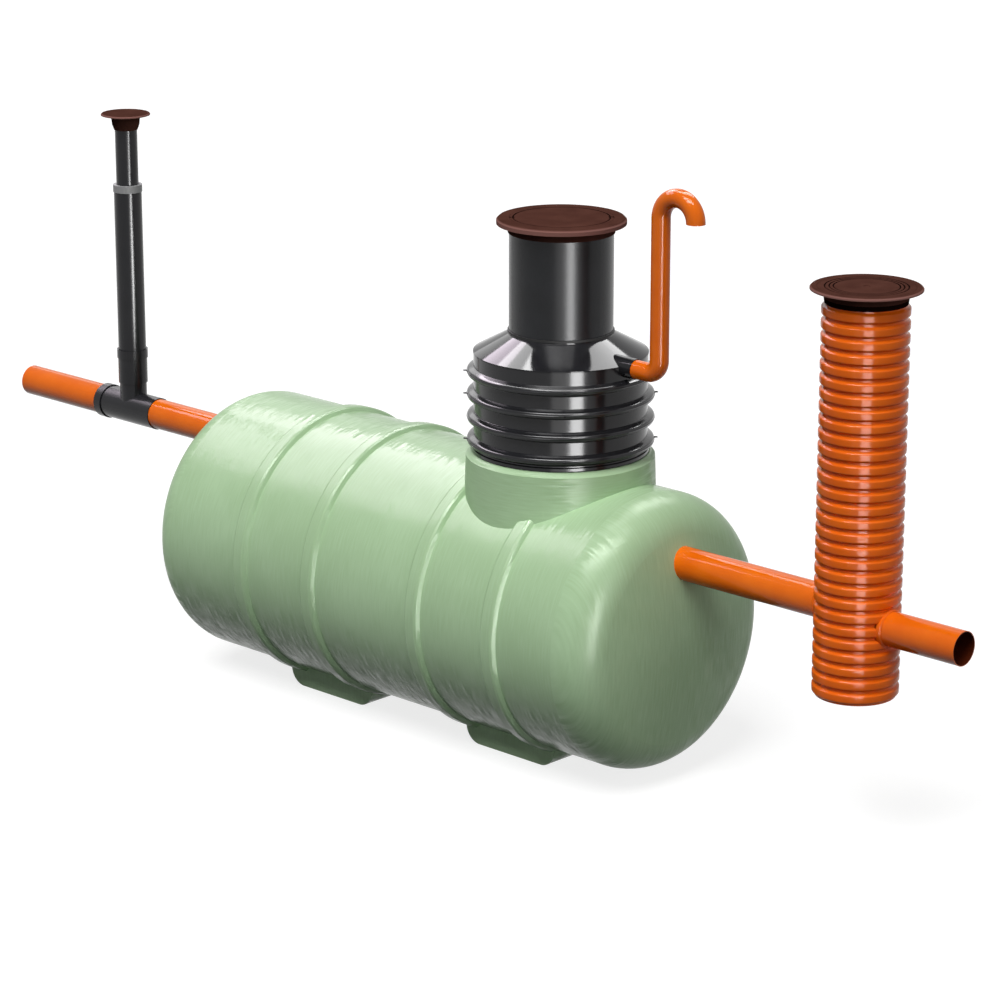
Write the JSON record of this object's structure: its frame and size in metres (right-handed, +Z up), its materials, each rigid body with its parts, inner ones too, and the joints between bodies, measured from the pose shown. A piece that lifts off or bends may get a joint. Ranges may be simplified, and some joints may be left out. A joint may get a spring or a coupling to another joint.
{
  "type": "grease separator",
  "caption": "Buried grease separator: ribbed round tank on saddle feet with access shaft, vent, inlet tee with riser, and corrugated sampling chamber.",
  "frame": {"origin": "on the floor under the axis of the access shaft, on the sole of the outlet saddle foot", "axes": "+Z up, +X with the flow from the inlet to the outlet, +Y to the left of the flow"},
  "size_m": [6.35, 1.386, 2.861],
  "materials": {
    "laminate": "pale green glass-reinforced polyester, glossy resin over woven glass",
    "black_polyethylene": "smooth moulded black polyethylene",
    "black_polypropylene": "extruded dark grey polypropylene",
    "grey_rubber": "grey moulded rubber",
    "black_rubber": "black moulded rubber",
    "brown_cover": "cast iron dipped in dark brown bitumen paint",
    "orange_pvc": "extruded orange sewer pipe",
    "orange_polypropylene": "corrugated orange polypropylene"
  },
  "bodies": {
    "root": {"access_shaft": "black_polyethylene", "chamber_base": "orange_polypropylene", "chamber_cover": "brown_cover", "chamber_cover_frame": "brown_cover", "chamber_inlet_saddle": "orange_polypropylene", "chamber_outlet_saddle": "orange_polypropylene", "chamber_outlet_stub": "orange_pvc", "inlet_pipe": "orange_pvc", "inlet_stub_pipe": "orange_pvc", "inlet_tee": "black_polypropylene", "outlet_pipe": "orange_pvc", "riser_cover": "brown_cover", "riser_cover_frame": "black_polypropylene", "riser_seal_ring": "grey_rubber", "riser_socket": "black_polypropylene", "riser_telescope": "black_polypropylene", "riser_tube": "black_polypropylene", "saddle_foot_inlet": "laminate", "saddle_foot_outlet": "laminate", "sampling_chamber": "orange_polypropylene", "shaft_cone": "black_polyethylene", "shaft_cover": "brown_cover", "shaft_cover_frame": "brown_cover", "tank_barrel": "laminate", "tank_head_inlet": "laminate", "tank_head_outlet": "laminate", "tank_neck": "laminate", "tank_rib_1": "laminate", "tank_rib_2": "laminate", "tank_rib_3": "laminate", "tank_rib_4": "laminate", "telescope_seal": "black_rubber", "telescope_tube": "black_polyethylene", "vent_elbow": "orange_pvc", "vent_gooseneck": "orange_pvc", "vent_pipe": "orange_pvc", "vent_spigot": "black_polyethylene"}
  },
  "joints": []
}
